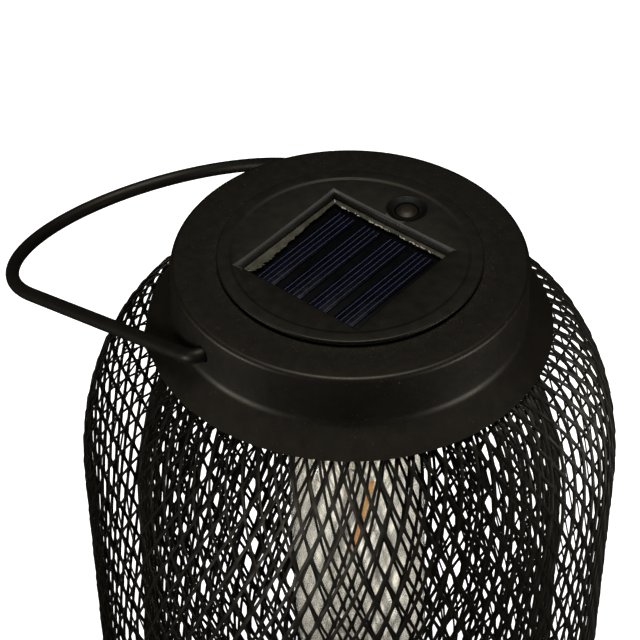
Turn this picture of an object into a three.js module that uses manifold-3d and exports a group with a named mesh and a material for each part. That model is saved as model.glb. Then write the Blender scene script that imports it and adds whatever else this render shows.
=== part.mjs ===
// Solar lantern: a pressed-steel cap over two nested barrels of expanded metal, a wire bail hinged
// in the cap's wall, and a drop-in solar module that carries a tubular filament lamp.
// Millimetres, +Z up. The origin is the centre of the base pad's underside, and the bail's pivot
// axis runs along X. The bail lies folded towards +Y, on the shoulder of the outer barrel.

import * as THREE from 'three';
import { mergeVertices } from 'three/addons/utils/BufferGeometryUtils.js';
import Module from 'manifold-3d';

const wasm = await Module();
wasm.setup();

// ---- Driving dimensions ----------------------------------------------------------------------

const CAP_TOP = 240;            // height of the cap's flat top over the base pad's underside
const GAP = 0.3;                // clearance between pieces that touch
const STEEL = 1.2;              // sheet thickness of the cap, collar and base pan
const MESH_DEPTH = 1.3;         // overall thickness of the expanded metal

// Cap, with radii and depths below its top
const CAP_WALL_R = 52.2;
const CAP_SHOULDER_R = 1.5;
const CAP_HOLE_R = 36.9;
const COVE_DEPTH = 14.6;
const COVE_R = 3.5;
const FLARE_ANGLE = 46;
const SKIRT_R = 60;

// Collar that hangs under the cap's hole and carries the inner barrel
const COLLAR_R = 40.4;
const COLLAR_BOTTOM = 28.6;

// Outer barrel
const OUTER_R = 81.7;
const OUTER_LOW_R = 79.9;
const OUTER_SHOULDER = 75;      // depth where the shoulder becomes the straight side
const OUTER_NECK = 23.5;
const OUTER_FOOT_Z = 60;        // height where the straight side turns in to the base
const OUTER_END_Z = 10.2;

// Inner barrel
const INNER_R = 66;
const INNER_SHOULDER = 97;
const INNER_NECK = 22.8;
const INNER_ELLIPSE_R = 26.8;
const INNER_START_ANGLE = 67.5;
const INNER_FOOT_Z = 46;
const INNER_END_R = 37;
const INNER_END_Z = 5.4;

// Base
const PAD_R = 47;
const PAD_T = 2;
const PAN_FLOOR_R = 50;
const PAN_RIM_Z = 9.8;
const PAN_CORNER = 2.5;         // width of the turn from the pan's floor to its slope
const PAN_CORNER_RISE = 0.9;
const FOOT_HOOP = [7.9, 10.6];  // heights of the hoop inside the outer barrel's foot
const NECK_HOOP = [20.5, 13.5]; // depths of the hoop inside the cap's wall

// Bail
const WIRE_R = 2.25;
const PIVOT_DEPTH = 9.3;
const BAIL_HALF = 55.4;
const BAIL_LEG = 102.8;
const BAIL_ARCH_HALF = 54.4;    // the legs draw in a little towards the arch
const BAIL_ARCH_RISE = 55.4;
const BAIL_BEND_R = 3.6;
const BAIL_END_X = 45.8;
const BAIL_DROOP = 24;          // degrees below level at which the bail rests over the shoulder
const PIVOT_CLEARANCE = 0.35;
const WASHER_R = 3.6;
const WASHER_X = [47.4, 48.4];

// Solar module, with heights over the cap's top
const MODULE_TURN = 14.4;       // the round module may sit at any angle in the cap
const DISC_R = 38.8;
const DISC_TOP = 2.2;
const DISC_EDGE = 0.8;          // bevel round the disc's top edge
const DISC_UNDER = 1.1;
const SPIGOT_R = 36.2;
const TOP_UNDER = -5.2;
const POCKET = 43.4;            // side of the square solar panel's pocket
const POCKET_X = -2.35;
const POCKET_FLOOR = -3.9;
const BOARD_T = 1;
const CELL_LENGTH = 38;
const CELL_WIDTH = 7;
const CELL_PITCH = 9.6;
const CELL_T = 0.3;
const RESIN_T = 0.6;
const COVER_FLOOR = -25.2;
const COVER_BOTTOM = -27;
const COVER_WALL = 1.8;
const COVER_EDGE = 0.8;
const BUTTON_X = 26.6;
const BUTTON_R = 3.4;
const DIMPLE_R = 6.2;
const DIMPLE_DEPTH = 1.2;
const BUTTON_TOP = 2;
const BUTTON_FOOT = -5.6;
const BUTTON_EDGE = 0.5;
const BOSS_RADIUS = 30;
const BOSS_ANGLES = [65, 180, 295];
const BOSS_R = 3;
const PILOT_R = 1.5;            // blind hole in each boss for its screw
const PILOT_TOP = -14;
const SCREW_SHANK_R = 1.15;
const SCREW_HEAD_R = 2.6;
const SCREW_HEAD_T = 1.5;
const LEAD_HOLE_R = 4;

// Lamp, with heights under the cap's top
const LAMP_TURN = -49.9;
const LAMP_LEAN = 1.5;          // the lamp hangs a little out of plumb
const LAMP_SHIFT = 0.8;
const HOLDER_TOP = -28.2;
const GLASS_R = 21;
const GLASS_T = 0.9;
const GLASS_NECK_R = 11.9;
const GLASS_STRAIGHT_TOP = -78;
const GLASS_STRAIGHT_END = -152;
const GLASS_TIP = -172;

// ---- Materials --------------------------------------------------------------------------------

const look = (color, roughness, metalness) =>
  new THREE.MeshStandardMaterial({ color, roughness, metalness });

const blackPaint = look(0x17140f, 0.42, 0.3);
const blackPlastic = look(0x1b1a17, 0.5, 0);
const cellSilicon = look(0x0c0f1c, 0.25, 0.4);
const boardGreen = look(0x1f4a2c, 0.6, 0);
const clearResin = look(0xd8d6cc, 0.1, 0);
const clearGlass = look(0xe4e0d6, 0.05, 0);
const amberPhosphor = look(0xd98a1f, 0.6, 0);
const nickel = look(0xb9b6ae, 0.3, 1);
const zinc = look(0x9a9a96, 0.4, 1);
const softRubber = look(0x141414, 0.85, 0);
const batteryWrap = look(0x3f6f4a, 0.4, 0);
const chipBlack = look(0x151515, 0.5, 0);
const redCable = look(0xa02018, 0.5, 0);
const blackCable = look(0x111111, 0.5, 0);

// ---- Geometry helpers -------------------------------------------------------------------------

const radians = THREE.MathUtils.degToRad;

// A point at a radius and height, turned by an angle in degrees.
const polar = (radius, degrees) => [
  radius * Math.cos(radians(degrees)),
  radius * Math.sin(radians(degrees)),
];

// A solid of revolution about Z from a closed outline of [radius, height] points.
function lathe(outline, segments) {
  let area = 0;
  outline.forEach(([r, z], i) => {
    const [nextR, nextZ] = outline[(i + 1) % outline.length];
    area += r * nextZ - nextR * z;
  });
  const turning = area > 0 ? outline : [...outline].reverse();
  const onAxis = turning.findIndex(([r], i) => {
    const [before] = turning[(i + turning.length - 1) % turning.length];
    return r === 0 && before === 0;
  });
  const start = Math.max(onAxis, 0);
  const ordered = [...turning.slice(start), ...turning.slice(0, start)];
  if (onAxis < 0) {
    ordered.push(ordered[0]);
  }
  const points = ordered.map(([r, z]) => new THREE.Vector2(r, z));
  return new THREE.LatheGeometry(points, segments).rotateX(Math.PI / 2);
}

// The closed outline of a wall: a line of [radius, height] points and its offset to the left.
function wall(line, thickness) {
  const offset = line.map(([r, z], i) => {
    const [r0, z0] = line[Math.max(i - 1, 0)];
    const [r1, z1] = line[Math.min(i + 1, line.length - 1)];
    const length = Math.hypot(r1 - r0, z1 - z0);
    return [r - ((z1 - z0) / length) * thickness, z + ((r1 - r0) / length) * thickness];
  });
  return [...line, ...offset.reverse()];
}

// Points on an elliptical arc in the [radius, height] plane, between two angles in degrees.
function arc(centreR, centreZ, radiusR, radiusZ, from, to, steps) {
  return Array.from({ length: steps + 1 }, (_, i) => {
    const angle = radians(from + ((to - from) * i) / steps);
    return [centreR + radiusR * Math.cos(angle), centreZ + radiusZ * Math.sin(angle)];
  });
}

function disc(radius, low, high, segments = 24) {
  const height = high - low;
  return new THREE.CylinderGeometry(radius, radius, height, segments)
    .rotateX(Math.PI / 2)
    .translate(0, 0, (low + high) / 2);
}

function ring(inner, outer, low, high, segments = 32) {
  return lathe([[inner, low], [outer, low], [outer, high], [inner, high]], segments);
}

function block(sizeX, sizeY, low, high, x = 0, y = 0) {
  return new THREE.BoxGeometry(sizeX, sizeY, high - low).translate(x, y, (low + high) / 2);
}

// A path through given stations: an extrusion along it has one ring of points at each station.
class StationPath extends THREE.Curve {
  constructor(stations) {
    super();
    this.stations = stations;
  }

  getPoint(t, target = new THREE.Vector3()) {
    const last = this.stations.length - 1;
    return target.copy(this.stations[Math.round(t * last)]);
  }

  getPointAt(u, target) {
    return this.getPoint(u, target);
  }

  getTangentAt(u, target = new THREE.Vector3()) {
    const last = this.stations.length - 1;
    const i = Math.round(u * last);
    const before = this.stations[Math.max(i - 1, 0)];
    const here = this.stations[i];
    const after = this.stations[Math.min(i + 1, last)];
    const arriving = new THREE.Vector3().subVectors(here, before).normalize();
    const leaving = new THREE.Vector3().subVectors(after, here).normalize();
    return target.addVectors(arriving, leaving).normalize();
  }
}

// A round wire through the given [x, y, z] stations.
function wire(stations, radius, sides = 8) {
  const corners = Array.from({ length: sides }, (_, i) => {
    const angle = (2 * Math.PI * i) / sides;
    return new THREE.Vector2(radius * Math.cos(angle), radius * Math.sin(angle));
  });
  const path = new StationPath(stations.map((p) => new THREE.Vector3(...p)));
  return new THREE.ExtrudeGeometry(new THREE.Shape(corners), {
    steps: stations.length - 1,
    bevelEnabled: false,
    extrudePath: path,
  });
}

// A wire that bends smoothly past a few guide points.
function softWire(guides, radius, steps, sides = 8) {
  const curve = new THREE.CatmullRomCurve3(guides.map((p) => new THREE.Vector3(...p)));
  const stations = curve.getSpacedPoints(steps).map((p) => p.toArray());
  return wire(stations, radius, sides);
}

function solid(geometry) {
  const bare = geometry.index ? geometry.toNonIndexed() : geometry.clone();
  bare.deleteAttribute('normal');
  bare.deleteAttribute('uv');
  const merged = mergeVertices(bare, 1e-4);
  const corners = merged.index.array;
  const kept = [];
  for (let i = 0; i < corners.length; i += 3) {
    const [a, b, c] = [corners[i], corners[i + 1], corners[i + 2]];
    if (a !== b && b !== c && c !== a) {
      kept.push(a, b, c);
    }
  }
  return new wasm.Manifold(new wasm.Mesh({
    numProp: 3,
    vertProperties: Float32Array.from(merged.attributes.position.array),
    triVerts: Uint32Array.from(kept),
  }));
}

function geometryOf(manifold) {
  const { vertProperties, triVerts } = manifold.getMesh();
  const geometry = new THREE.BufferGeometry();
  geometry.setAttribute('position', new THREE.BufferAttribute(vertProperties, 3));
  geometry.setIndex(new THREE.BufferAttribute(triVerts, 1));
  geometry.computeVertexNormals();
  return geometry;
}

function cut(body, ...tools) {
  return geometryOf(tools.reduce((rest, tool) => rest.subtract(solid(tool)), solid(body)));
}

function join(...bodies) {
  return geometryOf(bodies.map(solid).reduce((whole, body) => whole.add(body)));
}

function addPiece(group, name, geometry, material) {
  const mesh = new THREE.Mesh(geometry, material);
  mesh.name = name;
  group.add(mesh);
  return mesh;
}

// ---- Cage: base, two barrels, collar and cap --------------------------------------------------

const lantern = new THREE.Group();

function outerBarrelLine() {
  const shoulderZ = CAP_TOP - OUTER_SHOULDER;
  const shoulder = arc(CAP_WALL_R, shoulderZ, OUTER_R - CAP_WALL_R, OUTER_SHOULDER - OUTER_NECK,
    86, 0, 6);
  const foot = arc(CAP_WALL_R, OUTER_FOOT_Z, OUTER_LOW_R - CAP_WALL_R,
    OUTER_FOOT_Z - OUTER_END_Z, 0, -86, 5);
  return [...shoulder, ...foot].reverse();
}

function innerBarrelLine() {
  const shoulderZ = CAP_TOP - INNER_SHOULDER;
  const shoulder = arc(INNER_ELLIPSE_R, shoulderZ, INNER_R - INNER_ELLIPSE_R,
    INNER_SHOULDER - INNER_NECK, INNER_START_ANGLE, 0, 4);
  const foot = arc(INNER_END_R, INNER_FOOT_Z, INNER_R - INNER_END_R,
    INNER_FOOT_Z - INNER_END_Z, 0, -85, 4);
  return [...shoulder, ...foot].reverse();
}

function addBase() {
  const panFloor = PAD_T + GAP;
  const pan = [
    [0, panFloor], [PAN_FLOOR_R - PAN_CORNER, panFloor],
    [PAN_FLOOR_R, panFloor + PAN_CORNER_RISE], [SKIRT_R, PAN_RIM_Z],
  ];
  const hoopOuter = CAP_WALL_R + 1.5;
  addPiece(lantern, 'base_pad', disc(PAD_R, 0, PAD_T, 40), softRubber);
  addPiece(lantern, 'base_pan', lathe(wall(pan, STEEL), 40), blackPaint);
  addPiece(lantern, 'base_ring', ring(hoopOuter - 1.4, hoopOuter, ...FOOT_HOOP), blackPaint);
}

function addBarrels() {
  addPiece(lantern, 'outer_mesh', lathe(wall(outerBarrelLine(), MESH_DEPTH), 36), blackPaint);
  addPiece(lantern, 'inner_mesh', lathe(wall(innerBarrelLine(), MESH_DEPTH), 32), blackPaint);
}

function capLine() {
  const flareStart = arc(CAP_WALL_R + COVE_R, CAP_TOP - COVE_DEPTH, COVE_R, COVE_R,
    180, 180 + FLARE_ANGLE, 3);
  const [flareR, flareZ] = flareStart[flareStart.length - 1];
  const slope = 1 / Math.tan(radians(FLARE_ANGLE));
  return [
    [CAP_HOLE_R, CAP_TOP],
    ...arc(CAP_WALL_R - CAP_SHOULDER_R, CAP_TOP - CAP_SHOULDER_R, CAP_SHOULDER_R,
      CAP_SHOULDER_R, 90, 0, 3),
    ...flareStart,
    [SKIRT_R, flareZ - (SKIRT_R - flareR) * slope],
  ].reverse();
}

function addCap() {
  const holes = new THREE.CylinderGeometry(WIRE_R + PIVOT_CLEARANCE, WIRE_R + PIVOT_CLEARANCE,
    2 * SKIRT_R, 16).rotateZ(Math.PI / 2).translate(0, 0, CAP_TOP - PIVOT_DEPTH);
  addPiece(lantern, 'cap_shell', cut(lathe(wall(capLine(), STEEL), 36), holes), blackPaint);
  const collarTop = CAP_TOP - STEEL - GAP;
  addPiece(lantern, 'cap_collar',
    ring(COLLAR_R - STEEL, COLLAR_R, CAP_TOP - COLLAR_BOTTOM, collarTop, 40), blackPaint);
  const [hoopLow, hoopHigh] = NECK_HOOP.map((depth) => CAP_TOP - depth);
  addPiece(lantern, 'neck_ring',
    ring(CAP_WALL_R - 4, CAP_WALL_R - STEEL - GAP, hoopLow, hoopHigh), blackPaint);
}

// ---- Bail ---------------------------------------------------------------------------------------

function bailStations() {
  const bendX = BAIL_HALF - BAIL_BEND_R;
  const half = [[BAIL_END_X, 0, 0]];
  arc(bendX, BAIL_BEND_R, BAIL_BEND_R, BAIL_BEND_R, -90, 0, 5)
    .forEach(([x, y]) => half.push([x, y, 0]));
  const arch = arc(0, BAIL_LEG, BAIL_ARCH_HALF, BAIL_ARCH_RISE, 0, 180, 20)
    .map(([x, y]) => [x, y, 0]);
  const otherHalf = half.map(([x, y, z]) => [-x, y, z]).reverse();
  return [...half, ...arch, ...otherHalf];
}

function addBail() {
  const bail = new THREE.Group();
  bail.position.set(0, 0, CAP_TOP - PIVOT_DEPTH);
  bail.rotation.x = -radians(BAIL_DROOP);
  addPiece(bail, 'handle_bail', wire(bailStations(), WIRE_R, 12), blackPaint);
  for (const [name, side] of [['handle_washer_left', -1], ['handle_washer_right', 1]]) {
    const washer = ring(WIRE_R + GAP, WASHER_R, ...WASHER_X, 20).rotateY(side * Math.PI / 2);
    addPiece(bail, name, washer, zinc);
  }
  lantern.add(bail);
}

// ---- Solar module -------------------------------------------------------------------------------

function moduleTopGeometry() {
  const body = lathe([
    [0, TOP_UNDER], [SPIGOT_R, TOP_UNDER], [SPIGOT_R, DISC_UNDER], [DISC_R, DISC_UNDER],
    [DISC_R, DISC_TOP - DISC_EDGE], [DISC_R - DISC_EDGE, DISC_TOP], [0, DISC_TOP],
  ], 40);
  const bosses = BOSS_ANGLES.map((angle) => {
    const [x, y] = polar(BOSS_RADIUS, angle);
    return disc(BOSS_R, COVER_FLOOR + GAP, TOP_UNDER + 1, 12).translate(x, y, 0);
  });
  const pilotHoles = BOSS_ANGLES.map((angle) => {
    const [x, y] = polar(BOSS_RADIUS, angle);
    return disc(PILOT_R, COVER_FLOOR - 1, PILOT_TOP, 10).translate(x, y, 0);
  });
  const pocket = block(POCKET, POCKET, POCKET_FLOOR, DISC_TOP + 1, POCKET_X);
  const dimple = disc(DIMPLE_R, DISC_TOP - DIMPLE_DEPTH, DISC_TOP + 1).translate(BUTTON_X, 0, 0);
  const buttonBore = disc(BUTTON_R + GAP, TOP_UNDER - 1, DISC_TOP + 1, 20)
    .translate(BUTTON_X, 0, 0);
  return cut(join(body, ...bosses), pocket, dimple, buttonBore, ...pilotHoles);
}

function addPanel(module) {
  const side = POCKET - 2 * GAP;
  const boardLow = POCKET_FLOOR + GAP;
  const boardHigh = boardLow + BOARD_T;
  addPiece(module, 'panel_board', block(side, side, boardLow, boardHigh, POCKET_X), chipBlack);
  const cellLow = boardHigh + GAP;
  const cellHigh = cellLow + CELL_T;
  for (let i = 0; i < 4; i += 1) {
    const y = (i - 1.5) * CELL_PITCH;
    addPiece(module, `solar_cell_${i + 1}`,
      block(CELL_LENGTH, CELL_WIDTH, cellLow, cellHigh, POCKET_X, y), cellSilicon);
  }
  const resinLow = cellHigh + GAP;
  addPiece(module, 'panel_resin', block(side, side, resinLow, resinLow + RESIN_T, POCKET_X),
    clearResin);
}

function addCover(module) {
  const shell = lathe([
    [0, COVER_BOTTOM], [SPIGOT_R - COVER_EDGE, COVER_BOTTOM],
    [SPIGOT_R, COVER_BOTTOM + COVER_EDGE],
    [SPIGOT_R, TOP_UNDER - GAP], [SPIGOT_R - COVER_WALL, TOP_UNDER - GAP],
    [SPIGOT_R - COVER_WALL, COVER_FLOOR], [0, COVER_FLOOR],
  ], 40);
  const screwHoles = BOSS_ANGLES.map((angle) => {
    const [x, y] = polar(BOSS_RADIUS, angle);
    return disc(PILOT_R + 0.1, COVER_BOTTOM - 1, COVER_FLOOR + 1, 10).translate(x, y, 0);
  });
  const leadHole = disc(LEAD_HOLE_R, COVER_BOTTOM - 1, COVER_FLOOR + 1, 16);
  addPiece(module, 'module_cover', cut(shell, leadHole, ...screwHoles), blackPlastic);
  BOSS_ANGLES.forEach((angle, i) => {
    const [x, y] = polar(BOSS_RADIUS, angle);
    const head = COVER_BOTTOM - GAP;
    const screw = lathe([
      [0, head - SCREW_HEAD_T], [1.6, head - SCREW_HEAD_T], [SCREW_HEAD_R, head - 0.6],
      [SCREW_HEAD_R, head], [SCREW_SHANK_R, head], [SCREW_SHANK_R, PILOT_TOP - 2],
      [0, PILOT_TOP - 1],
    ], 12).translate(x, y, 0);
    addPiece(module, `cover_screw_${i + 1}`, screw, zinc);
  });
}

function addElectronics(module) {
  const boardTop = -11.3;
  const boardX = 20.6;
  addPiece(module, 'circuit_board', block(19, 22, boardTop - 1.4, boardTop, boardX), boardGreen);
  addPiece(module, 'switch_body', block(6.2, 6.2, boardTop + GAP, -7, BUTTON_X), chipBlack);
  addPiece(module, 'control_chip', block(4, 5, boardTop + GAP, boardTop + 1.9, 16.5, 6),
    chipBlack);
  const inductor = disc(1.9, -3.4, 3.4, 12).rotateX(Math.PI / 2)
    .translate(16.5, -5.5, boardTop + GAP + 1.9);
  addPiece(module, 'power_inductor', inductor, boardGreen);
}

// An AAA rechargeable cell lies across the module, in a cradle, between a spring and a plate.
function addBattery(module) {
  const radius = 5.25;
  const half = 22;
  const x = -17;
  const z = COVER_FLOOR + 1.5 + 0.6 + radius;
  const cell = lathe([
    [0, -half], [radius - 0.5, -half], [radius, -half + 0.5], [radius, half - 0.5],
    [radius - 0.6, half], [1.9, half], [1.9, half + 0.8], [0, half + 0.8],
  ], 20).rotateX(-Math.PI / 2).translate(x, 0, z);
  addPiece(module, 'battery_cell', cell, batteryWrap);
  const cradle = cut(
    block(12.4, 50.6, COVER_FLOOR + GAP, z, x),
    block(2 * radius + 2 * GAP, 48.6, COVER_FLOOR + 1.5, z + 1, x),
  );
  addPiece(module, 'battery_cradle', cradle, blackPlastic);
  addPiece(module, 'battery_plate',
    block(8, 0.5, z - 4, z + 4, x, half + 0.8 + GAP + 0.25), nickel);
  const turns = 2.5;
  const steps = 30;
  const spring = Array.from({ length: steps + 1 }, (_, i) => {
    const part = i / steps;
    const angle = 2 * Math.PI * turns * part;
    const coil = 3.6 - 1.6 * part;
    return [x + coil * Math.cos(angle), -half - 2 + 1.4 * part, z + coil * Math.sin(angle)];
  });
  addPiece(module, 'battery_spring', wire(spring, 0.22, 6), nickel);
}

function addLeads(module) {
  const lampRoute = (side) => [
    [12.6, side * 3, -13.1], [9, side * 3, -16], [3, side * 2, -21], [side * 0.3, side * 1.6, -25],
    [0, side * 1.6, -29], [0, side * 1.6, -31],
  ];
  addPiece(module, 'lamp_lead_positive', softWire(lampRoute(1), 0.6, 14), redCable);
  addPiece(module, 'lamp_lead_negative', softWire(lampRoute(-1), 0.6, 14), blackCable);
}

function addModule() {
  const module = new THREE.Group();
  module.position.set(0, 0, CAP_TOP);
  module.rotation.z = radians(MODULE_TURN);
  addPiece(module, 'module_gasket', ring(CAP_HOLE_R + 0.4, DISC_R - 0.7, GAP, DISC_UNDER - GAP),
    softRubber);
  addPiece(module, 'module_top', moduleTopGeometry(), blackPlastic);
  addPanel(module);
  addCover(module);
  addElectronics(module);
  addBattery(module);
  addLeads(module);
  addPiece(module, 'switch_button', lathe([
    [0, BUTTON_FOOT], [BUTTON_R, BUTTON_FOOT], [BUTTON_R, BUTTON_TOP - BUTTON_EDGE],
    [BUTTON_R - BUTTON_EDGE, BUTTON_TOP], [0, BUTTON_TOP],
  ], 20).translate(BUTTON_X, 0, 0), blackPlastic);
  addLamp(module);
  lantern.add(module);
}

// ---- Lamp ---------------------------------------------------------------------------------------

function glassGeometry() {
  const line = [
    ...arc(0, GLASS_STRAIGHT_END, GLASS_R, GLASS_STRAIGHT_END - GLASS_TIP, -90, 0, 5),
    [GLASS_R, GLASS_STRAIGHT_TOP],
    [GLASS_R - 1.6, GLASS_STRAIGHT_TOP + 7],
    [GLASS_NECK_R + 2.2, GLASS_STRAIGHT_TOP + 15],
    [GLASS_NECK_R, GLASS_STRAIGHT_TOP + 20],
    [GLASS_NECK_R, -50],
  ];
  line[0] = [0, GLASS_TIP];
  const inside = wall(line, GLASS_T).slice(line.length);
  inside[inside.length - 1] = [0, GLASS_TIP + GLASS_T];
  return lathe([...line, ...inside], 20);
}

function addLamp(module) {
  const turned = new THREE.Group();
  turned.rotation.z = radians(LAMP_TURN);
  const hung = new THREE.Group();
  hung.position.set(LAMP_SHIFT, 0, HOLDER_TOP);
  hung.rotation.y = -radians(LAMP_LEAN);
  const lamp = new THREE.Group();
  lamp.position.z = -HOLDER_TOP;
  turned.add(hung);
  hung.add(lamp);
  module.add(turned);

  addPiece(lamp, 'lamp_holder', lathe([
    [5, HOLDER_TOP - 2], [5, HOLDER_TOP], [14.5, HOLDER_TOP], [16.4, HOLDER_TOP - 2.5],
    [16.4, -44], [15.2, -46.5], [13.6, -46.5], [13.6, HOLDER_TOP - 2],
  ], 20), blackPlastic);
  addPiece(lamp, 'bulb_cap', lathe([
    [0, -33], [5, -33], [5.6, -34.2], [9.5, -35.4], [13.1, -39], [13.1, -56.5],
    [12.3, -56.5], [12.3, -39.6], [9, -36.4], [0, -36.4],
  ], 20), nickel);
  addPiece(lamp, 'bulb_glass', glassGeometry(), clearGlass);
  addPiece(lamp, 'glass_stem', lathe([
    [0, -85], [2.2, -84.6], [2.8, -80], [3.2, -62], [6, -55.5], [10.7, -51.6], [10.7, -50.6],
    [0, -50.6],
  ], 16), clearGlass);

  const filamentTop = new THREE.Vector3(4.9, 0, -91);
  const filamentEnd = new THREE.Vector3(-2, 0, -119.4);
  const filament = new THREE.CylinderGeometry(0.9, 0.9, filamentTop.distanceTo(filamentEnd), 10);
  const slant = Math.atan2(filamentTop.x - filamentEnd.x, filamentTop.z - filamentEnd.z);
  const middle = filamentTop.clone().add(filamentEnd).multiplyScalar(0.5);
  filament.rotateX(Math.PI / 2).rotateY(slant).translate(middle.x, 0, middle.z);
  addPiece(lamp, 'led_filament', filament, amberPhosphor);
  const wireR = 0.35;
  addPiece(lamp, 'filament_wire_short',
    softWire([[1.4, 0, -85.4], [2.6, 0, -87.6], [4.4, 0, -89], [5.2, 0, -90.4]], wireR, 8, 6),
    nickel);
  addPiece(lamp, 'filament_wire_long', softWire([
    [-1.3, 0, -85.5], [-2.6, 0, -88], [-4, 0, -95], [-5.2, 0, -110], [-5, 0, -119.5],
    [-3.6, 0, -121.6], [-2.3, 0, -120.1],
  ], wireR, 18, 6), nickel);
}

addBase();
addBarrels();
addCap();
addBail();
addModule();

export default lantern;
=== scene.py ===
"""Solar lantern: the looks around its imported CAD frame.

A pressed-steel cap over two nested barrels of expanded metal, a wire bail, and a drop-in solar
module that carries a tubular filament lamp. Shapes are built in millimetres in the frame's own
axes and become metres when a piece is made.
"""

import math

import bmesh
import bpy
import numpy as np
from mathutils import Matrix, Vector


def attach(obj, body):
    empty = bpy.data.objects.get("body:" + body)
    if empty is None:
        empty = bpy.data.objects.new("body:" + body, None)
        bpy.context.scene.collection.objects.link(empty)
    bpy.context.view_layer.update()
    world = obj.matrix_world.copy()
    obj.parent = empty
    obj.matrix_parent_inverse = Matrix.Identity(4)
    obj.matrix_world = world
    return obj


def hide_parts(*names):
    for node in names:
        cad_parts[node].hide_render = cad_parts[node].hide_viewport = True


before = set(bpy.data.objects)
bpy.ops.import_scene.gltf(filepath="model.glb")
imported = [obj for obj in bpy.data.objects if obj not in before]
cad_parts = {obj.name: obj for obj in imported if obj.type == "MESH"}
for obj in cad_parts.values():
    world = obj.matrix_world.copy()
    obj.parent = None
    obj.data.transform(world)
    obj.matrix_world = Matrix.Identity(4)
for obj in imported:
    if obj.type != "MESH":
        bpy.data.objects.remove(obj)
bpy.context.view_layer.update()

MM = 0.001

# ---- Driving dimensions, in millimetres ----

CAP_TOP = 240.0
CAP_WALL_R = 52.2
CAP_SHOULDER_R = 1.5
CAP_HOLE_R = 36.9
STEEL = 1.2
COVE_DEPTH = 14.6
COVE_R = 3.5
FLARE_ANGLE = 46.0
SKIRT_R = 60.0
GAP = 0.3

BARREL_CELLS = 80          # openings round each barrel
STRAND = 7.93              # length of one strand, from bond to bond
SHEET = 0.50               # thickness of the expanded sheet
BOND_HALF = 0.66           # half width of a bond between two openings
BOND_HEIGHT = 1.58         # half height of a bond
BOND_TURN = 0.33           # how far a bond's edges stand out of the sheet
CHAMFER = 0.11             # paint-rounded edge of a strand
STRAND_STEPS = 3           # pieces that a strand's edge is drawn in
STRAND_BOW = 1.15          # how far a strand's edge bows, where 1 is straight
RIM_BAND = 1.5             # plain sheet beyond the last bonds
MESH_DEPTH = 1.3           # thickness of the frame's closed skin
OUTER_R = 81.7
OUTER_LOW_R = 79.9
OUTER_SHOULDER_Z = CAP_TOP - 75.0
OUTER_NECK_Z = CAP_TOP - 23.5
OUTER_FOOT_Z = 60.0
OUTER_END_Z = 10.2
INNER_R = 66.0
INNER_SHOULDER_Z = CAP_TOP - 97.0
INNER_NECK_Z = CAP_TOP - 22.8
INNER_ELLIPSE_R = 26.8
INNER_START_ANGLE = 67.5
INNER_FOOT_Z = 46.0
INNER_END_R = 37.0
INNER_END_Z = 5.4

WIRE_R = 2.23
PIVOT_Z = CAP_TOP - 9.3
PIVOT_HOLE_R = 2.6
WASHER_BORE = 2.55
BAIL_HALF = 55.4
BAIL_LEG = 102.8
BAIL_ARCH_HALF = 54.4
BAIL_ARCH_RISE = 55.4
BAIL_BEND_R = 3.6
BAIL_END_X = 45.8
BAIL_DROOP = 24.0

MODULE_TURN = 14.4
DISC_R = 38.8
DISC_TOP = 2.19
DISC_UNDER = 1.1
SPIGOT_R = 36.2
TOP_UNDER = -5.2
POCKET = 43.4
POCKET_X = -2.35
POCKET_FLOOR = -3.9
COVER_FLOOR = -25.2
COVER_BOTTOM = -27.0
BUTTON_X = 26.6
BUTTON_R = 3.4
DIMPLE_R = 6.2
DIMPLE_DEPTH = 1.2
BUTTON_TOP = 2.0
BUTTON_FOOT = -5.6
BOSS_RADIUS = 30.0
BOSS_ANGLES = [math.radians(angle) for angle in (65, 180, 295)]
BOSS_PLACES = [(BOSS_RADIUS * math.cos(a), BOSS_RADIUS * math.sin(a)) for a in BOSS_ANGLES]

LAMP_TURN = -49.9
LAMP_LEAN = 1.5
LAMP_SHIFT = 0.8
HOLDER_TOP = -28.2
GLASS_R = 21.0
GLASS_T = 0.9
GLASS_NECK_R = 11.9
GLASS_STRAIGHT_TOP = -78.0
GLASS_STRAIGHT_END = -152.0
GLASS_TIP = -172.0

# ---- Camera ----

CAMERA_AZIMUTH = math.radians(-36.0)
CAMERA_ELEVATION = math.radians(41.22)
CAMERA_ROLL = math.radians(-0.29)
CAMERA_LENS = 153.45
CAP_IN_VIEW = (0.00871, -0.01782, 0.78939)   # the cap's centre: right, down and forward of the camera


def linked(name, data):
    """A new object with this data, linked into the scene."""
    made = bpy.data.objects.new(name, data)
    bpy.context.scene.collection.objects.link(made)
    return made


def camera_axes():
    """The camera's right, down and forward directions."""
    turn, tilt = CAMERA_AZIMUTH, CAMERA_ELEVATION
    level = Vector((math.cos(turn), math.sin(turn), 0))
    away = Vector((-math.sin(turn), math.cos(turn), 0))
    steep = -away * math.sin(tilt) - Vector((0, 0, math.cos(tilt)))
    forward = away * math.cos(tilt) - Vector((0, 0, math.sin(tilt)))
    right = level * math.cos(CAMERA_ROLL) - steep * math.sin(CAMERA_ROLL)
    down = level * math.sin(CAMERA_ROLL) + steep * math.cos(CAMERA_ROLL)
    return right, down, forward


def add_camera():
    right, down, forward = camera_axes()
    across, below, ahead = CAP_IN_VIEW
    place = Vector((0, 0, CAP_TOP * MM)) - right * across - down * below - forward * ahead
    data = bpy.data.cameras.new("camera")
    data.lens = CAMERA_LENS
    data.clip_start = 0.05
    data.clip_end = 50
    camera = linked("camera", data)
    axes = Matrix((right, -down, -forward)).transposed()
    camera.matrix_world = Matrix.Translation(place) @ axes.to_4x4()
    bpy.context.scene.camera = camera


add_camera()

# ---- Materials ----


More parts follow.
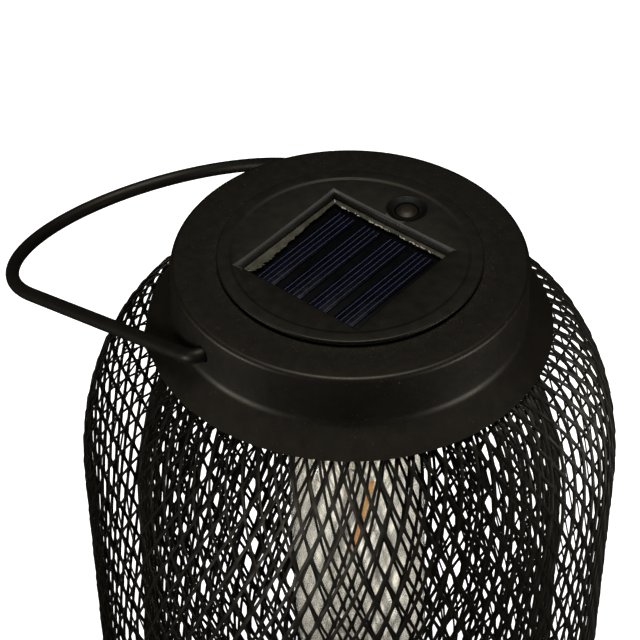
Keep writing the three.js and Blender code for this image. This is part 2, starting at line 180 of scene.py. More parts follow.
class Shader:
    """A node material round one Principled shader, with helpers that wire noise into it."""

    def __init__(self, name):
        self.material = bpy.data.materials.new(name)
        self.material.use_nodes = True
        self.tree = self.material.node_tree
        self.bsdf = self.tree.nodes["Principled BSDF"]
        self.place = self.tree.nodes.new("ShaderNodeTexCoord").outputs["Object"]

    def node(self, kind, **values):
        made = self.tree.nodes.new(kind)
        for key, value in values.items():
            setattr(made, key, value)
        return made

    def link(self, start, end):
        self.tree.links.new(start, end)

    def set(self, **values):
        for key, value in values.items():
            self.bsdf.inputs[key.replace("_", " ")].default_value = value
        return self

    def noise(self, size, detail=3.0, roughness=0.55, stretch=(1, 1, 1)):
        """Noise with features of about the given size in millimetres."""
        mapping = self.node("ShaderNodeMapping")
        mapping.inputs["Scale"].default_value = stretch
        self.link(self.place, mapping.inputs["Vector"])
        noise = self.node("ShaderNodeTexNoise")
        noise.inputs["Scale"].default_value = 1 / (size * MM)
        noise.inputs["Detail"].default_value = detail
        noise.inputs["Roughness"].default_value = roughness
        self.link(mapping.outputs["Vector"], noise.inputs["Vector"])
        return noise.outputs["Fac"]

    def spread(self, value, low, high, start=0.3, end=0.7):
        """The value's range start..end mapped to low..high."""
        node = self.node("ShaderNodeMapRange")
        for key, number in (("From Min", start), ("From Max", end), ("To Min", low), ("To Max", high)):
            node.inputs[key].default_value = number
        self.link(value, node.inputs["Value"])
        return node.outputs["Result"]

    def mix(self, factor, first, second):
        """A colour between two, each a colour or a socket."""
        node = self.node("ShaderNodeMix", data_type="RGBA")
        self.link(factor, node.inputs["Factor"])
        for socket, colour in ((node.inputs["A"], first), (node.inputs["B"], second)):
            self.put(colour, socket)
        return node.outputs["Result"]

    def drift(self, size, first, second):
        """A colour that wanders between two tones in patches of about the given size."""
        return self.mix(self.spread(self.noise(size), 0, 1), first, second)

    def put(self, colour, socket):
        if isinstance(colour, tuple):
            socket.default_value = (*colour, 1)
        else:
            self.link(colour, socket)

    def multiply(self, first, second):
        node = self.node("ShaderNodeMath", operation="MULTIPLY")
        self.link(first, node.inputs[0])
        self.link(second, node.inputs[1])
        return node.outputs["Value"]

    def colour(self, value):
        self.put(value, self.bsdf.inputs["Base Color"])
        return self

    def over(self, factor, colour):
        """Lays a colour over the present one as far as the factor says."""
        ground = self.bsdf.inputs["Base Color"].links[0].from_socket
        return self.colour(self.mix(factor, ground, colour))

    def roughness(self, value):
        self.link(value, self.bsdf.inputs["Roughness"])
        return self

    def bump(self, height, depth, strength=1.0):
        """Bump of the given depth in millimetres."""
        node = self.node("ShaderNodeBump")
        node.inputs["Strength"].default_value = strength
        node.inputs["Distance"].default_value = depth * MM
        self.link(height, node.inputs["Height"])
        self.link(node.outputs["Normal"], self.bsdf.inputs["Normal"])
        return self


WARM_GLOSS = (1.0, 0.9, 0.72, 1.0)


def grained(name, dark, light, low, high, patch=9.0, grain=0.35, depth=0.02, **values):
    """A finish whose colour drifts between two tones, with a fine grain in roughness and bump."""
    shader = Shader(name).set(**values)
    shader.colour(shader.drift(patch, dark, light))
    shader.roughness(shader.spread(shader.noise(grain * 6), low, high))
    shader.bump(shader.noise(grain, detail=2), depth)
    return shader


def powder_coat(name):
    """Satin black paint with a fine orange peel and a few dust grains."""
    shader = grained(name, (0.0036, 0.0027, 0.0017), (0.0052, 0.0040, 0.0027), 0.42, 0.5,
                     patch=14, grain=0.5, depth=0.012, Specular_IOR_Level=0.35,
                     Specular_Tint=WARM_GLOSS)
    dust = shader.spread(shader.noise(0.42, detail=1), 0, 1, 0.735, 0.80)
    return shader.over(dust, (0.09, 0.08, 0.068))


def cap_coat(name):
    """The cap's paint, rubbed to a speckle where the module's disc has turned on it."""
    shader = powder_coat(name)
    around = shader.node("ShaderNodeSeparateXYZ")
    shader.link(shader.place, around.inputs["Vector"])
    flat = shader.node("ShaderNodeCombineXYZ")
    shader.link(around.outputs["X"], flat.inputs["X"])
    shader.link(around.outputs["Y"], flat.inputs["Y"])
    radius = shader.node("ShaderNodeVectorMath", operation="LENGTH")
    shader.link(flat.outputs["Vector"], radius.inputs[0])
    near = shader.spread(radius.outputs["Value"], 1, 0, 0.0392, 0.0428)
    high = shader.spread(around.outputs["Z"], 0, 1, 0.2392, 0.2396)
    specks = shader.spread(shader.noise(0.30, detail=1), 0, 1, 0.60, 0.70)
    rubbed = shader.multiply(shader.multiply(near, high), specks)
    return shader.over(rubbed, (0.055, 0.048, 0.038))


def mesh_coat(name):
    return grained(name, (0.0030, 0.0024, 0.0017), (0.0048, 0.0039, 0.0029), 0.45, 0.58,
                   patch=5, grain=0.4, depth=0.02, Specular_IOR_Level=0.3,
                   Specular_Tint=WARM_GLOSS)


def moulded_plastic(name, tone=0.0042):
    """Black moulded plastic, slightly warm, with faint handling marks."""
    dark = (tone, tone * 0.8, tone * 0.55)
    light = (tone * 1.5, tone * 1.22, tone * 0.85)
    shader = grained(name, dark, light, 0.42, 0.54, patch=11, grain=0.6, depth=0.008,
                     Specular_IOR_Level=0.34, Specular_Tint=WARM_GLOSS)
    scuff = shader.spread(shader.noise(2.2, detail=6, roughness=0.75), 0, 1, 0.66, 0.8)
    return shader.over(scuff, (0.028, 0.026, 0.022))


def resin(name):
    """Clear cast resin over the cells: mostly see-through, with a glossy face."""
    shader = Shader(name).set(Alpha=0.10, IOR=1.46, Specular_IOR_Level=0.4)
    shader.colour(shader.drift(12, (0.002, 0.002, 0.003), (0.004, 0.004, 0.006)))
    return shader.roughness(shader.spread(shader.noise(3), 0.06, 0.14))


def clear_glass(name):
    shader = Shader(name).set(Transmission_Weight=0.92, IOR=1.47)
    shader.colour(shader.drift(30, (0.98, 0.94, 0.84), (1.0, 0.98, 0.91)))
    return shader.roughness(shader.spread(shader.noise(12), 0.04, 0.09))


def metal(name, dark, light, low=0.22, high=0.38, stretch=(1, 1, 8)):
    shader = Shader(name).set(Metallic=1.0)
    shader.colour(shader.drift(3, dark, light))
    shader.roughness(shader.spread(shader.noise(0.5, stretch=stretch), low, high))
    return shader.bump(shader.noise(0.25, detail=2, stretch=stretch), 0.006)


def phosphor(name):
    """The filament's amber silicone coating, which fluoresces a little in bright light."""
    return grained(name, (0.72, 0.30, 0.02), (0.86, 0.42, 0.04), 0.45, 0.6, patch=2.5,
                   grain=0.25, depth=0.03, Subsurface_Weight=0.15, Subsurface_Scale=0.001,
                   Emission_Color=(1.0, 0.42, 0.05, 1), Emission_Strength=0.22)


# Plain grained finishes: dark and light tone, roughness range, then what differs from the usual.
GRAINED = {
    "silicon": ((0.0012, 0.0014, 0.0052), (0.0022, 0.0026, 0.0105), 0.22, 0.34,
                dict(patch=6, grain=0.25, depth=0.002, Specular_IOR_Level=0.3)),
    "finger_silver": ((0.085, 0.09, 0.13), (0.115, 0.12, 0.17), 0.45, 0.6,
                      dict(patch=9, grain=0.6, depth=0.001)),
    "resin_edge": ((0.050, 0.045, 0.030), (0.100, 0.092, 0.062), 0.14, 0.3,
                   dict(patch=2.2, grain=0.5, depth=0.04, Specular_IOR_Level=0.5)),
    "resin_froth": ((0.34, 0.29, 0.21), (0.68, 0.62, 0.50), 0.2, 0.4,
                    dict(patch=1.2, grain=0.3, depth=0.04, Specular_IOR_Level=0.5)),
    # Lighter grey for the pocket's rear walls: a painted reflection of the bright surroundings, not the
    # plastic's own colour.
    "pocket_wall_painted_reflection": ((0.040, 0.037, 0.031), (0.056, 0.052, 0.044), 0.4, 0.5,
                     dict(patch=5, grain=0.5, depth=0.006)),
    # Darker tone for the button's dimple: painted shade in the recess, with a lower specular.
    "dimple_painted_shade": ((0.0018, 0.0015, 0.0011), (0.0034, 0.0028, 0.0021), 0.5, 0.62,
                       dict(patch=2.5, grain=0.4, depth=0.01, Specular_IOR_Level=0.14)),
    "pad_rubber": ((0.010, 0.010, 0.010), (0.018, 0.018, 0.017), 0.72, 0.9,
                   dict(grain=0.5, depth=0.05)),
    "board_black": ((0.0012, 0.0012, 0.0012), (0.003, 0.003, 0.003), 0.4, 0.6,
                    dict(grain=0.6, depth=0.01, Specular_IOR_Level=0.1)),
    "board_green": ((0.008, 0.040, 0.014), (0.014, 0.062, 0.022), 0.3, 0.45,
                    dict(patch=3, grain=0.4, depth=0.02)),
    "battery_wrap": ((0.03, 0.11, 0.05), (0.04, 0.15, 0.07), 0.25, 0.4,
                     dict(patch=6, grain=1.2, depth=0.01)),
    "red_cable": ((0.32, 0.012, 0.008), (0.42, 0.02, 0.012), 0.35, 0.5,
                  dict(patch=3, grain=0.4, depth=0.01)),
    "black_cable": ((0.008, 0.008, 0.008), (0.014, 0.014, 0.014), 0.35, 0.5,
                    dict(patch=3, grain=0.4, depth=0.01)),
}


def build_finishes():
    makers = {"black_paint": powder_coat, "cap_paint": cap_coat, "mesh_paint": mesh_coat,
              "black_plastic": moulded_plastic, "clear_resin": resin, "clear_glass": clear_glass,
              "amber_phosphor": phosphor}
    made = {name: make(name) for name, make in makers.items()}
    made["button_plastic"] = moulded_plastic("button_plastic", 0.010)
    made["nickel_plate"] = metal("nickel_plate", (0.52, 0.50, 0.46), (0.70, 0.68, 0.63))
    made["zinc_steel"] = metal("zinc_steel", (0.40, 0.41, 0.42), (0.58, 0.58, 0.58), 0.3, 0.5)
    for name, (dark, light, low, high, rest) in GRAINED.items():
        made[name] = grained(name, dark, light, low, high, **rest)
    return {name: shader.material for name, shader in made.items()}


FINISH = build_finishes()

# ---- Places ----


def turned(degrees, axis):
    return Matrix.Rotation(math.radians(degrees), 4, axis)


AT_HOME = Matrix.Identity(4)
AT_MODULE = Matrix.Translation((0, 0, CAP_TOP)) @ turned(MODULE_TURN, "Z")
AT_LAMP = (AT_MODULE @ turned(LAMP_TURN, "Z") @ Matrix.Translation((LAMP_SHIFT, 0, HOLDER_TOP))
           @ turned(-LAMP_LEAN, "Y") @ Matrix.Translation((0, 0, -HOLDER_TOP)))
AT_BAIL = Matrix.Translation((0, 0, PIVOT_Z)) @ turned(-BAIL_DROOP, "X")

# ---- Making pieces ----


def made_object(name, shape, transform=AT_HOME):
    """An object from a shape, which is (points, faces), with its faces turned outward."""
    points, faces = shape
    mesh = bpy.data.meshes.new(name)
    mesh.from_pydata([tuple(p) for p in points], [], [tuple(f) for f in faces])
    mesh.transform(transform)
    work = bmesh.new()
    work.from_mesh(mesh)
    bmesh.ops.recalc_face_normals(work, faces=work.faces)
    work.to_mesh(mesh)
    work.free()
    return linked(name, mesh)


def piece(name, shape, body, slot, replaced=(), finish=None, at=AT_HOME, angle=35):
    """A shown piece from a shape in millimetres, riding on a body."""
    made = made_object(name, shape, Matrix.Scale(MM, 4) @ at)
    made.data.shade_smooth()
    made.data.set_sharp_from_angle(angle=math.radians(angle))
    made.data.materials.append(FINISH[finish or slot])
    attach(made, body)
    if replaced:
        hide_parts(*replaced)
    return made


def module_piece(name, shape, slot, replaced=(), at=AT_MODULE, **look):
    """A piece that rides on the module."""
    return piece(name, shape, "module", slot, replaced, at=at, **look)


def second_finish(made, finish, chosen):
    """Gives the faces whose centre (in millimetres) the test picks another finish."""
    made.data.materials.append(FINISH[finish])
    index = len(made.data.materials) - 1
    for face in made.data.polygons:
        if chosen(face.center / MM):
            face.material_index = index


def arc(centre, radii, start, end, steps):
    """Points on an elliptical arc, with angles in degrees."""
    angles = np.radians(np.linspace(start, end, steps + 1))
    return [(centre[0] + radii[0] * math.cos(a), centre[1] + radii[1] * math.sin(a)) for a in angles]


def unit(vector):
    return vector / np.linalg.norm(vector)


def filleted(corners, steps=4):
    """A closed outline whose corners, given as (x, y) or (x, y, radius), are rounded."""
    outline = []
    count = len(corners)
    for i, corner in enumerate(corners):
        here = np.array(corner[:2], float)
        if len(corner) < 3:
            outline.append(tuple(here))
            continue
        before = np.array(corners[i - 1][:2], float) - here
        after = np.array(corners[(i + 1) % count][:2], float) - here
        long_before, long_after = np.linalg.norm(before), np.linalg.norm(after)
        before, after = before / long_before, after / long_after
        half = math.acos(max(-1, min(1, float(before @ after)))) / 2
        reach = min(corner[2] / math.tan(half), 0.49 * long_before, 0.49 * long_after)
        radius = reach * math.tan(half)
        centre = here + unit(before + after) * radius / math.sin(half)
        first, last = here + before * reach - centre, here + after * reach - centre
        turn = math.atan2(first[0] * last[1] - first[1] * last[0], float(first @ last))
        for step in range(steps + 1):
            angle = turn * step / steps
            spin = np.array([[math.cos(angle), -math.sin(angle)], [math.sin(angle), math.cos(angle)]])
            outline.append(tuple(centre + spin @ first))
    return outline


def tangents(points, *spacing):
    """Unit directions along a line of points."""
    tangent = np.gradient(points, *spacing, axis=0)
    return tangent / np.linalg.norm(tangent, axis=1)[:, None]


def left_normals(points, *spacing):
    """Unit directions to the left of a flat line of points."""
    tangent = tangents(points, *spacing)
    return np.stack([-tangent[:, 1], tangent[:, 0]], axis=1)


def sheet_outline(line, thickness):
    """The closed outline of a wall: a line and its offset to the left."""
    points = np.array(line, float)
    offset = points + thickness * left_normals(points)
    return [tuple(p) for p in points] + [tuple(p) for p in offset[::-1]]


def revolved(outline, segments=96, centre=(0, 0)):
    """A closed body of revolution about Z from a closed outline of (radius, height) points."""
    points, rings = [], []
    for radius, height in outline:
        if radius < 1e-6:
            rings.append([len(points)] * segments)
            points.append((centre[0], centre[1], height))
            continue
        rings.append(list(range(len(points), len(points) + segments)))
        for i in range(segments):
            angle = 2 * math.pi * i / segments
            points.append((centre[0] + radius * math.cos(angle),
                           centre[1] + radius * math.sin(angle), height))
    faces = []
    for low, high in zip(rings, rings[1:] + rings[:1]):
        if low[0] == low[1] and high[0] == high[1]:
            continue
        for i in range(segments):
            j = (i + 1) % segments
            corners = [low[i], low[j], high[j], high[i]]
            faces.append(list(dict.fromkeys(corners)))
    return points, faces


def plug(radius, low, high, segments, place=(0, 0)):
    """A plain round rod between two heights."""
    return revolved([(0, low), (radius, low), (radius, high), (0, high)], segments, place)


def hoop(inner, outer, low, high, edge, segments=96):
    """A ring of rectangular section with rounded edges."""
    return revolved(filleted([(inner, low, edge), (outer, low, edge),
                              (outer, high, edge), (inner, high, edge)]), segments)


def skinned(loops, levels):
    """The points of loops of equal length, and the faces between the first so many of them."""
    count = len(loops[0])
    points = [tuple(p) for loop in loops for p in loop]
    faces = []
    for level in range(levels):
        a, b = level * count, (level + 1) % len(loops) * count
        for i in range(count):
            j = (i + 1) % count
            faces.append((a + i, a + j, b + j, b + i))
    return points, faces


def lofted(loops):
    """A closed body through loops of equal length, capped at both ends."""
    count = len(loops[0])
    points, faces = skinned(loops, len(loops) - 1)
    faces.append(tuple(range(count - 1, -1, -1)))
    faces.append(tuple(range(len(points) - count, len(points))))
    return points, faces


def swept(path, radius, sides=20):
    """A round wire along a path of points, with rounded ends."""
    path = np.array(path, float)
    tangent = tangents(path)
    side = unit(np.cross(tangent[0], (0.31, 0.17, 0.94)))
    stations = []
    for place, along in zip(path, tangent):
        side = unit(side - along * (side @ along))
        stations.append((place, along, side, np.cross(along, side)))
    rounding = (0.2, 0.6, 0.87)
    angles = 2 * math.pi * np.arange(sides) / sides

    def loop(station, size, shift):
        place, along, first, second = station
        centre = place + along * shift
        return [centre + size * (math.cos(a) * first + math.sin(a) * second) for a in angles]

    rounds = [(radius * f, radius * 0.5 * (1 - math.sqrt(1 - f * f))) for f in rounding]
    loops = [loop(stations[0], size, shift) for size, shift in rounds]
    loops += [loop(station, radius, 0) for station in stations[1:-1]]
    loops += [loop(stations[-1], size, -shift) for size, shift in rounds[::-1]]
    return lofted(loops)


def joined(*shapes):
    """Several closed bodies as one shape."""
    points, faces = [], []
    for shape in shapes:
        start = len(points)
        points += list(shape[0])
        faces += [tuple(start + v for v in face) for face in shape[1]]
    return points, faces


def box_shape(size, centre, edge=0.0):
    """A block with chamfered edges."""
    half = np.array(size, float) / 2
    work = bmesh.new()
    bmesh.ops.create_cube(work, size=1)
    for vertex in work.verts:
        vertex.co = Vector(np.array(vertex.co) * 2 * half)
    if edge:
        bmesh.ops.bevel(work, geom=list(work.edges), offset=edge, segments=2, affect="EDGES",
                        profile=0.5)
    points = [tuple(vertex.co + Vector(centre)) for vertex in work.verts]
    work.verts.index_update()
    faces = [tuple(v.index for v in face.verts) for face in work.faces]
    work.free()
    return points, faces


def carved(shape, *cutters):
    """The shape with each cutter's volume taken out of it."""
    body = made_object("body", shape)
    tools = [made_object("cutter", cutter) for cutter in cutters]
    for tool in tools:
        modifier = body.modifiers.new("cut", "BOOLEAN")
        modifier.operation = "DIFFERENCE"
        modifier.solver = "EXACT"
        modifier.object = tool
    graph = bpy.context.evaluated_depsgraph_get()
    result = bpy.data.meshes.new_from_object(body.evaluated_get(graph))
    points = [tuple(v.co) for v in result.vertices]
    faces = [tuple(face.vertices) for face in result.polygons]
    for made in (body, *tools):
        bpy.data.objects.remove(made)
    return points, faces


# ---- Expanded metal ----


def barrel_surface(line):
    """Radius, height and outward normal by distance along a barrel's line, from its top down."""
    points = np.array(line, float)
    along = np.concatenate([[0], np.cumsum(np.linalg.norm(np.diff(points, axis=0), axis=1))])
    normal = left_normals(points, along)
    centre = points - normal * MESH_DEPTH / 2

    def place(angle, distance, lift):
        out_r = np.interp(distance, along, normal[:, 0])
        out_z = np.interp(distance, along, normal[:, 1])
        radius = np.interp(distance, along, centre[:, 0]) + lift * out_r
        height = np.interp(distance, along, centre[:, 1]) + lift * out_z
        return np.stack([radius * np.cos(angle), radius * np.sin(angle), height], axis=-1)

    return along, centre, place


def bond_rows(along, centre, margin):
    """Distances of the rows of bonds, spaced so that every strand has the same length."""
    rows = [margin]
    while True:
        radius = np.interp(rows[-1], along, centre[:, 0])
        step = math.sqrt(STRAND ** 2 - (math.pi * radius / BARREL_CELLS) ** 2)
        if rows[-1] + step > along[-1] - margin:
            break
        rows.append(rows[-1] + step)
    stretch = (along[-1] - 2 * margin) / (rows[-1] - rows[0])
    return [margin + (row - margin) * stretch for row in rows]


def expanded_metal(line):
    """A barrel of expanded metal: diamond openings between strands that meet at turned bonds."""
    along, centre, place = barrel_surface(line)
    steps, band = STRAND_STEPS, RIM_BAND
    rows = bond_rows(along, centre, band)
    cells, last = BARREL_CELLS, len(rows) - 1
    pitch = 2 * math.pi / cells
    share = np.arange(steps + 1) / steps
    column = np.arange(cells)
    points, loops = [], {}

    def placed(angle, distance, height):
        """Adds a point at each angle, and gives their indices."""
        start = sum(len(p) for p in points)
        distance, height = (np.broadcast_to(value, angle.shape) for value in (distance, height))
        points.append(place(angle, distance, height).reshape(-1, 3))
        return start + np.arange(angle.size).reshape(angle.shape)

    def around(first, second, third, fourth):
        """Values along an opening's four strands, there and back on each half."""
        return np.concatenate([first, second[::-1][1:], third[1:], fourth[::-1][1:-1]])

    def opening(row, grow, lift):
        """Indices [cell, place on the loop]: right corner, lower tip, left corner, upper tip."""
        radius = np.interp(rows[row], along, centre[:, 0])
        half_width = pitch / 2 * radius - min(BOND_HALF, 0.52 * pitch / 2 * radius)
        drop = rows[row + 1] - rows[row] - BOND_HEIGHT if row < last else 0.0
        rise = rows[row] - rows[row - 1] - BOND_HEIGHT if row > 0 else 0.0
        slant = math.atan2(half_width, max(drop, rise))
        width = half_width + grow / math.cos(slant)
        longer = min(grow / math.sin(slant), 0.4 * BOND_HEIGHT)
        down, up = (drop + longer) * (drop > 0), (rise + longer) * (rise > 0)
        falling = 1 - share ** STRAND_BOW
        side = around(falling, -falling, -falling, falling)
        turn = around(share - 1, 1 - share, 1 - share, share - 1)
        level = around(down * share, down * share, -up * share, -up * share)
        base = (column + 0.5 + 0.5 * (row % 2)) * pitch
        angle = base[:, None] + (side * width / radius)[None, :]
        return placed(angle, rows[row] + level, BOND_TURN * turn + lift)

    layers = (("out", CHAMFER, SHEET / 2), ("mid", 0.0, 0.0), ("in", CHAMFER, -SHEET / 2))
    edges = (("out", "mid"), ("mid", "in"))
    for row in range(last + 1):
        for layer, grow, lift in layers:
            loops[layer, row] = opening(row, grow, lift)

    right, low, left, high = 0, steps, 2 * steps, 3 * steps
    total = 4 * steps
    faces = []

    def add(*corners):
        faces.append(np.stack([np.broadcast_to(c, (cells,)) for c in corners], axis=1))

    for row in range(last + 1):
        for i in range(left if row == last else 0, left if row == 0 else total):
            j = (i + 1) % total
            for upper, lower in edges:
                a, b = loops[upper, row], loops[lower, row]
                add(a[:, i], a[:, j], b[:, j], b[:, i])

    for layer in ("out", "in"):
        for row in range(last + 1):
            here = loops[layer, row]
            before = np.roll(here, 1, axis=0)
            shift = 1 - row % 2    # how far the column moves from a bond to the next row's opening
            bond = [before[:, right], here[:, left]]
            if row > 0:
                above = np.roll(loops[layer, row - 1], shift, axis=0)
                bond.insert(1, above[:, low])
            if row == last:
                add(*bond)
                continue
            below = np.roll(loops[layer, row + 1], shift, axis=0)
            add(*bond, below[:, high])
            for m in range(steps):
                add(here[:, left - m], here[:, left - m - 1],
                    below[:, (high + m + 1) % total], below[:, high + m])
                add(before[:, right + m], before[:, right + m + 1],
                    below[:, high - m - 1], below[:, high - m])

    for row, distance in ((0, rows[0] - band), (last, rows[last] + band)):
        rims = {}
        for layer, _, lift in layers[::2]:
            loop = loops[layer, row]
            corner = np.concatenate(points)[loop[:, [right, left]]]
            angle = np.arctan2(corner[:, :, 1], corner[:, :, 0])
            rims[layer] = placed(angle, distance, lift)
            rim, before = rims[layer], np.roll(rims[layer], 1, axis=0)
            add(loop[:, left], loop[:, right], rim[:, 0], rim[:, 1])
            add(np.roll(loop, 1, axis=0)[:, right], loop[:, left], rim[:, 1], before[:, 0])
        for upper, lower in edges:
            a, b = loops[upper, row], loops[lower, row]
            add(a[:, left], a[:, right], b[:, right], b[:, left])
        a, b = rims["out"], rims["in"]
        add(a[:, 1], a[:, 0], b[:, 0], b[:, 1])
        a0, b0 = np.roll(a, 1, axis=0), np.roll(b, 1, axis=0)
        add(a0[:, 0], a[:, 1], b[:, 1], b0[:, 0])

    return np.concatenate(points), [tuple(f) for block in faces for f in block.tolist()]


def outer_line(steps=60):
    shoulder = arc((CAP_WALL_R, OUTER_SHOULDER_Z),
                   (OUTER_R - CAP_WALL_R, OUTER_NECK_Z - OUTER_SHOULDER_Z), 86, 0, steps)
    foot = arc((CAP_WALL_R, OUTER_FOOT_Z),
               (OUTER_LOW_R - CAP_WALL_R, OUTER_FOOT_Z - OUTER_END_Z), 0, -86, steps)
    return shoulder + foot


def inner_line(steps=60):
    shoulder = arc((INNER_ELLIPSE_R, INNER_SHOULDER_Z),
                   (INNER_R - INNER_ELLIPSE_R, INNER_NECK_Z - INNER_SHOULDER_Z),
                   INNER_START_ANGLE, 0, steps)
    foot = arc((INNER_END_R, INNER_FOOT_Z),
               (INNER_R - INNER_END_R, INNER_FOOT_Z - INNER_END_Z), 0, -85, steps)
    return shoulder + foot


def add_barrels():
    piece("outer_barrel", expanded_metal(outer_line()), "cage", "mesh_paint",
          ["outer_mesh"], angle=60)
    piece("inner_barrel", expanded_metal(inner_line()), "cage", "mesh_paint",
          ["inner_mesh"], angle=60)


# ---- Base ----


def add_base():
    pad_r, pad_t, floor_r, rim_z = 47.0, 2.0, 50.0, 9.8
    grooves = []
    for radius in (18, 26, 34, 41):
        grooves += [(radius, 0), (radius + 0.5, 0.6), (radius + 1.5, 0.6), (radius + 2, 0)]
    outline = ([(0, 0)] + grooves + [(pad_r, 0, 0.4), (pad_r, pad_t, 0.4), (0, pad_t)])
    piece("base_foot_pad", revolved(filleted(outline, 3)), "cage", "pad_rubber", ["base_pad"])
    low = pad_t + GAP
    line = ([(0, low), (12, low), (14, low + 0.5), (floor_r - 9, low + 0.5), (floor_r - 7, low)]
            + [(floor_r - 2.5, low)] + arc((floor_r - 2.5, low + 3), (3, 3), -85, -40, 5)
            + [(SKIRT_R - 0.9, rim_z - 1.1), (SKIRT_R, rim_z)])
    piece("base_dish", revolved(sheet_outline(line, STEEL), 128), "cage", "black_paint",
          ["base_pan"])
    ring_r = CAP_WALL_R + 1.5
    piece("base_hoop", hoop(ring_r - 1.4, ring_r, 7.9, 10.6, 0.4, 128),
          "cage", "mesh_paint", ["base_ring"])


# ---- Cap ----


def cap_line():
    """The cap's outer line, from its skirt up to the rim of its hole."""
    flare = arc((CAP_WALL_R + COVE_R, CAP_TOP - COVE_DEPTH), (COVE_R, COVE_R),
                180, 180 + FLARE_ANGLE, 10)
    flare_r, flare_z = flare[-1]
    fall = 1 / math.tan(math.radians(FLARE_ANGLE))
    skirt_z = flare_z - (SKIRT_R - flare_r) * fall
    shoulder = arc((CAP_WALL_R - CAP_SHOULDER_R, CAP_TOP - CAP_SHOULDER_R),
                   (CAP_SHOULDER_R, CAP_SHOULDER_R), 90, 0, 10)
    top = [(CAP_HOLE_R, CAP_TOP), (40.5, CAP_TOP), (45, CAP_TOP)]
    wall = [(CAP_WALL_R, CAP_TOP - 7.0), (CAP_WALL_R, CAP_TOP - 11.0)]
    slope = [(flare_r + (SKIRT_R - flare_r) * f, flare_z - (flare_z - skirt_z) * f)
             for f in (0.35, 0.7, 0.93, 1.0)]
    return (top + shoulder + wall + flare + slope)[::-1]


def add_cap():
    hole = [(PIVOT_HOLE_R, -SKIRT_R - 1), (PIVOT_HOLE_R, SKIRT_R + 1), (0, SKIRT_R + 1),
            (0, -SKIRT_R - 1)]
    drill = along_x(revolved(hole, 32), height=PIVOT_Z)
    shell = carved(revolved(sheet_outline(cap_line(), STEEL), 180), drill)
    piece("cap_cover", shell, "cage", "black_paint", ["cap_shell"], finish="cap_paint", angle=28)
    collar_r, low, high = 40.4, CAP_TOP - 28.6, CAP_TOP - STEEL - GAP
    piece("cap_sleeve", hoop(collar_r - STEEL, collar_r, low, high, 0.3),
          "cage", "black_paint", ["cap_collar"])
    inner, outer = CAP_WALL_R - 4, CAP_WALL_R - STEEL - GAP
    low, high = CAP_TOP - 20.5, CAP_TOP - 13.5
    piece("neck_hoop", hoop(inner, outer, low, high, 0.5), "cage", "mesh_paint", ["neck_ring"])


# ---- Bail ----


def bail_path():
    bend_x = BAIL_HALF - BAIL_BEND_R
    leg = BAIL_LEG - BAIL_BEND_R
    half = [(BAIL_END_X, 0), (BAIL_END_X + 0.6, 0), (BAIL_END_X + 2, 0), (bend_x - 1.5, 0)]
    half += arc((bend_x, BAIL_BEND_R), (BAIL_BEND_R, BAIL_BEND_R), -90, 0, 12)
    half += [(BAIL_HALF + (BAIL_ARCH_HALF - BAIL_HALF) * f, BAIL_BEND_R + leg * f)
             for f in (0.1, 0.3, 0.5, 0.7, 0.9)]
    arch = arc((0, BAIL_LEG), (BAIL_ARCH_HALF, BAIL_ARCH_RISE), 0, 180, 72)
    path = half + arch + [(-x, y) for x, y in reversed(half)]
    return [(x, y, 0) for x, y in path]


def along_x(shape, side=1, height=0.0):
    """A body of revolution laid along X, to one side, and raised."""
    points, faces = shape
    return [(side * z, y, x + height) for x, y, z in points], faces


def add_bail():
    piece("bail_wire", swept(bail_path(), WIRE_R, 28), "handle", "black_paint", ["handle_bail"],
          finish="mesh_paint", at=AT_BAIL, angle=50)
    for name, side in (("left", -1), ("right", 1)):
        outline = filleted([(WASHER_BORE, 47.4, 0.15), (3.6, 47.4, 0.25), (3.6, 48.4, 0.25),
                            (WASHER_BORE, 48.4, 0.15)])
        piece(f"bail_washer_{name}", along_x(revolved(outline, 40), side), "handle", "zinc_steel",
              [f"handle_washer_{name}"], at=AT_BAIL)


# ---- Solar module ----


EDGE_STEPS = 40            # points on half a side of the resin's edge
FROTH_BUBBLES = 170


def side_place(turn, out, across):
    """The module's x and y, out from the pocket's middle and across along one of its sides."""
    angle = turn * math.pi / 2
    return (out * math.cos(angle) - across * math.sin(angle) + POCKET_X,
            out * math.sin(angle) + across * math.cos(angle))


def square_loop(half, height, corner=0.0, steps=8):
    """A square loop whose corners may be drawn out a little past the square."""
    share = np.linspace(-1, 1, 2 * steps + 1)[:-1]
    return [(*side_place(turn, half + corner * abs(s) ** 6, (half + corner) * s), height)
            for turn in range(4) for s in share]


def module_top_shape():
    step_r, sunk = 34.7, 0.28
    outline = filleted([
        (0, TOP_UNDER), (SPIGOT_R, TOP_UNDER, 0.5), (SPIGOT_R, DISC_UNDER),
        (DISC_R, DISC_UNDER, 0.3), (DISC_R, DISC_TOP, 0.8),
        (step_r + 0.5, DISC_TOP, 0.6), (step_r - 0.5, DISC_TOP - sunk, 0.6),
        (20, DISC_TOP - sunk), (0, DISC_TOP - sunk),
    ], 6)
    body = revolved(outline, 160)
    half, lip = POCKET / 2, 0.9
    rim = DISC_TOP - sunk
    flare = [(half + lip * (1 - math.cos(a)), rim - lip * (1 - math.sin(a)), 0.35 * (1 - math.cos(a)))
             for a in np.radians((0, 30, 60, 90))]
    loops = [square_loop(half - 0.25, POCKET_FLOOR), square_loop(half, rim - lip - 1)]
    loops += [square_loop(size, height, corner) for size, height, corner in flare]
    loops.append(square_loop(half + lip, DISC_TOP + 2, 0.35))
    pocket = lofted(loops)
    bottom = DISC_TOP - DIMPLE_DEPTH
    bowl = filleted([(0, bottom), (DIMPLE_R - 1.9, bottom, 1.2), (DIMPLE_R - 0.12, rim - 0.2, 0.3),
                     (DIMPLE_R, rim + 0.1), (DIMPLE_R, DISC_TOP + 2), (0, DISC_TOP + 2)], 5)
    dimple = revolved(bowl, 64, (BUTTON_X, 0))
    bore = plug(BUTTON_R + GAP, TOP_UNDER - 1, DISC_TOP + 1, 48, (BUTTON_X, 0))
    return carved(body, pocket, dimple, bore)


